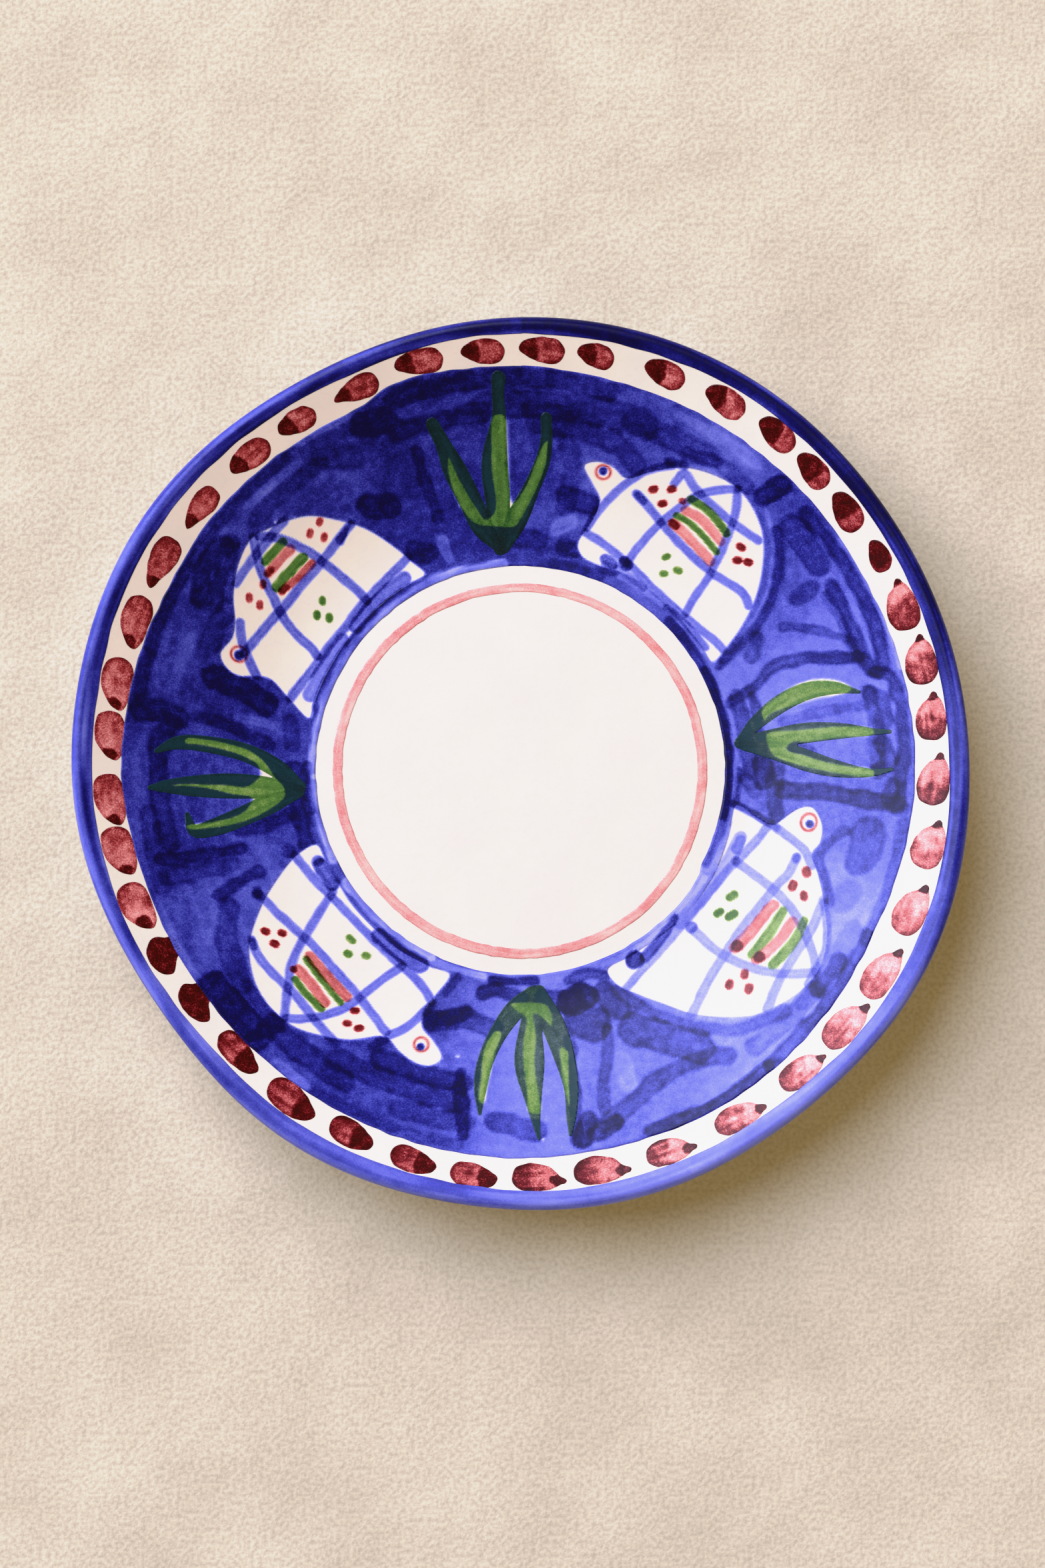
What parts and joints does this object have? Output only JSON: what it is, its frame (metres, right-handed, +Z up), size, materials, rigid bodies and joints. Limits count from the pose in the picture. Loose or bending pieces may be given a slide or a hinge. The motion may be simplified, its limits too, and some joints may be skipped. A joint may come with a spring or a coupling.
{
  "type": "hand painted ceramic plate",
  "caption": "Round shallow dinner plate on a foot ring: thrown clay, white glaze, and a painted border, blue wash and tortoise panels.",
  "frame": {"origin": "on the table surface, at the middle of the foot ring", "axes": "+Z up out of the dish; +Y towards the grass tuft named north; +X to its right seen from above"},
  "size_m": [0.2676, 0.267, 0.0329],
  "materials": {
    "clay": "matt fired clay",
    "glaze": "warm white gloss glaze",
    "rim_blue": "dark blue brushed band, glossy",
    "ring_pink": "thin pink banded line, glossy",
    "wash_blue": "brushed blue wash, glossy",
    "tortoise_paint": "white panel with blue line work, glossy",
    "grass_green": "brushed green, glossy",
    "dab_maroon": "maroon brush dab, glossy",
    "dab_rose": "rose brush dab, glossy"
  },
  "bodies": {
    "root": {"clay_body": "clay", "glaze_coat": "glaze", "base_glaze": "glaze", "rim_band": "rim_blue", "well_ring": "ring_pink", "wash_field": "wash_blue", "tortoise_north_east": "tortoise_paint", "tortoise_south_east": "tortoise_paint", "tortoise_south_west": "tortoise_paint", "tortoise_north_west": "tortoise_paint", "grass_north": "grass_green", "grass_east": "grass_green", "grass_south": "grass_green", "grass_west": "grass_green", "dab_01": "dab_maroon", "dab_02": "dab_maroon", "dab_03": "dab_maroon", "dab_04": "dab_maroon", "dab_05": "dab_maroon", "dab_06": "dab_maroon", "dab_07": "dab_maroon", "dab_08": "dab_maroon", "dab_09": "dab_rose", "dab_10": "dab_rose", "dab_11": "dab_rose", "dab_12": "dab_rose", "dab_13": "dab_rose", "dab_14": "dab_rose", "dab_15": "dab_rose", "dab_16": "dab_rose", "dab_17": "dab_rose", "dab_18": "dab_rose", "dab_19": "dab_rose", "dab_20": "dab_rose", "dab_21": "dab_rose", "dab_22": "dab_maroon", "dab_23": "dab_maroon", "dab_24": "dab_maroon", "dab_25": "dab_maroon", "dab_26": "dab_maroon", "dab_27": "dab_maroon", "dab_28": "dab_maroon", "dab_29": "dab_maroon", "dab_30": "dab_maroon", "dab_31": "dab_maroon", "dab_32": "dab_maroon", "dab_33": "dab_maroon", "dab_34": "dab_maroon", "dab_35": "dab_maroon", "dab_36": "dab_maroon", "dab_37": "dab_maroon", "dab_38": "dab_maroon", "dab_39": "dab_maroon", "dab_40": "dab_maroon", "dab_41": "dab_maroon"}
  },
  "joints": []
}
